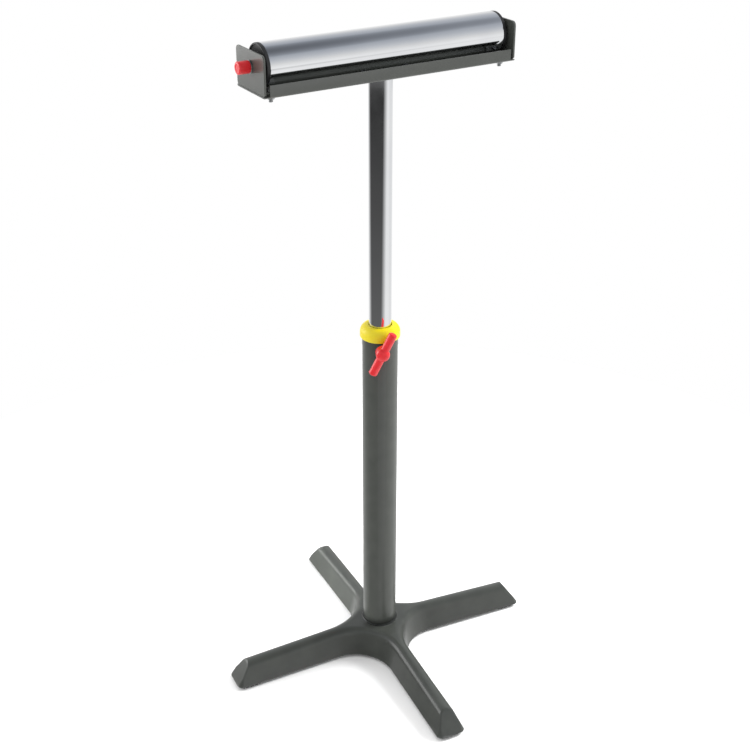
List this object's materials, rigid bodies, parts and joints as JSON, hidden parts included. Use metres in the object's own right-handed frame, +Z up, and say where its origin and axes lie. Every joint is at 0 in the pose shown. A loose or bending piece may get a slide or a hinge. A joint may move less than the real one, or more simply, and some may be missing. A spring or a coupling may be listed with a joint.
{
  "type": "roller stand",
  "caption": "Height-adjustable workshop roller stand: a chrome roller in a folded tray on a telescopic post, clamped by a T handle, on a cross-shaped base.",
  "frame": {"origin": "on the floor under the post's axis, the middle of the base's footprint", "axes": "+Z up along the post, +X along the roller towards its nut end, -Y towards the clamp handle's side"},
  "size_m": [0.5802, 0.5802, 1.1444],
  "materials": {
    "paint": "satin dark grey paint",
    "chrome": "bright chrome plate",
    "zinc": "zinc plate",
    "bearing_steel": "ground steel",
    "brass": "turned",
    "yellow_plastic": "moulded",
    "red_plastic": "moulded, glossy",
    "black_plastic": "moulded",
    "rubber": "matt"
  },
  "bodies": {
    "stand": {"base": "paint", "foot_right": "rubber", "foot_rear": "rubber", "foot_left": "rubber", "foot_front": "rubber", "outer_tube": "paint", "tube_weld_bead": "paint", "guide_collar": "yellow_plastic", "clamp_boss": "paint"},
    "clamp_pad": {"clamp_pad": "brass"},
    "clamp_screw": {"clamp_screw": "zinc", "clamp_handle": "red_plastic"},
    "guide": {"guide_bush": "black_plastic"},
    "mast": {"inner_tube": "chrome", "head_flange": "paint", "tray": "paint", "left_bracket": "paint", "right_bracket": "paint", "flange_bolt_1": "zinc", "flange_bolt_2": "zinc", "flange_bolt_3": "zinc", "flange_bolt_4": "zinc", "bracket_bolt_left_front": "zinc", "bracket_bolt_left_rear": "zinc", "bracket_bolt_right_front": "zinc", "bracket_bolt_right_rear": "zinc", "bracket_nut_left_front": "zinc", "bracket_nut_left_rear": "zinc", "bracket_nut_right_front": "zinc", "bracket_nut_right_rear": "zinc", "axle": "zinc", "left_spacer": "zinc", "right_spacer": "zinc", "left_bearing_inner_race": "bearing_steel", "right_bearing_inner_race": "bearing_steel", "nut_washer": "zinc", "axle_nut": "zinc"},
    "roller": {"roller_tube": "chrome", "left_end_cap": "black_plastic", "right_end_cap": "black_plastic", "left_bearing_outer_race": "bearing_steel", "right_bearing_outer_race": "bearing_steel"},
    "left_ball_cage": {"left_bearing_ball_cage": "bearing_steel"},
    "right_ball_cage": {"right_bearing_ball_cage": "bearing_steel"},
    "knob_washer": {"knob_washer": "zinc"},
    "axle_knob": {"axle_knob": "red_plastic"}
  },
  "joints": [
    {"name": "pad_travel", "type": "slide", "parent": "stand", "child": "clamp_pad", "axis": [-0.4305, -0.9026, 0], "range_m": [0, 0.00525]},
    {"name": "clamp_turn", "type": "hinge", "parent": "clamp_pad", "child": "clamp_screw", "pos_m": [0, 0, 0.626], "axis": [-0.4305, -0.9026, 0], "range_deg": [0, 1080]},
    {"name": "height", "type": "slide", "parent": "stand", "child": "guide", "axis": [0, 0, 1], "range_m": [-0.4, 0.0575]},
    {"name": "head_swivel", "type": "hinge", "parent": "guide", "child": "mast", "pos_m": [0, 0, 1], "axis": [0, 0, 1], "continuous": true},
    {"name": "roller_spin", "type": "hinge", "parent": "mast", "child": "roller", "pos_m": [0, 0, 1.11265], "axis": [1, 0, 0], "continuous": true},
    {"name": "left_cage_spin", "type": "hinge", "parent": "mast", "child": "left_ball_cage", "pos_m": [-0.1985, 0, 1.11265], "axis": [1, 0, 0], "continuous": true},
    {"name": "right_cage_spin", "type": "hinge", "parent": "mast", "child": "right_ball_cage", "pos_m": [0.203, 0, 1.11265], "axis": [1, 0, 0], "continuous": true},
    {"name": "knob_travel", "type": "slide", "parent": "mast", "child": "knob_washer", "axis": [-1, 0, 0], "range_m": [0, 0.0035]},
    {"name": "knob_turn", "type": "hinge", "parent": "knob_washer", "child": "axle_knob", "pos_m": [-0.2171, 0, 1.11265], "axis": [-1, 0, 0], "range_deg": [0, 720]}
  ],
  "couplings": [
    {"joint": "pad_travel", "follows": "clamp_turn", "m_per_rad": 0.00027852},
    {"joint": "knob_travel", "follows": "knob_turn", "m_per_rad": 0.00027852},
    {"joint": "left_cage_spin", "follows": "roller_spin", "ratio": 0.59417},
    {"joint": "right_cage_spin", "follows": "roller_spin", "ratio": 0.59417}
  ]
}
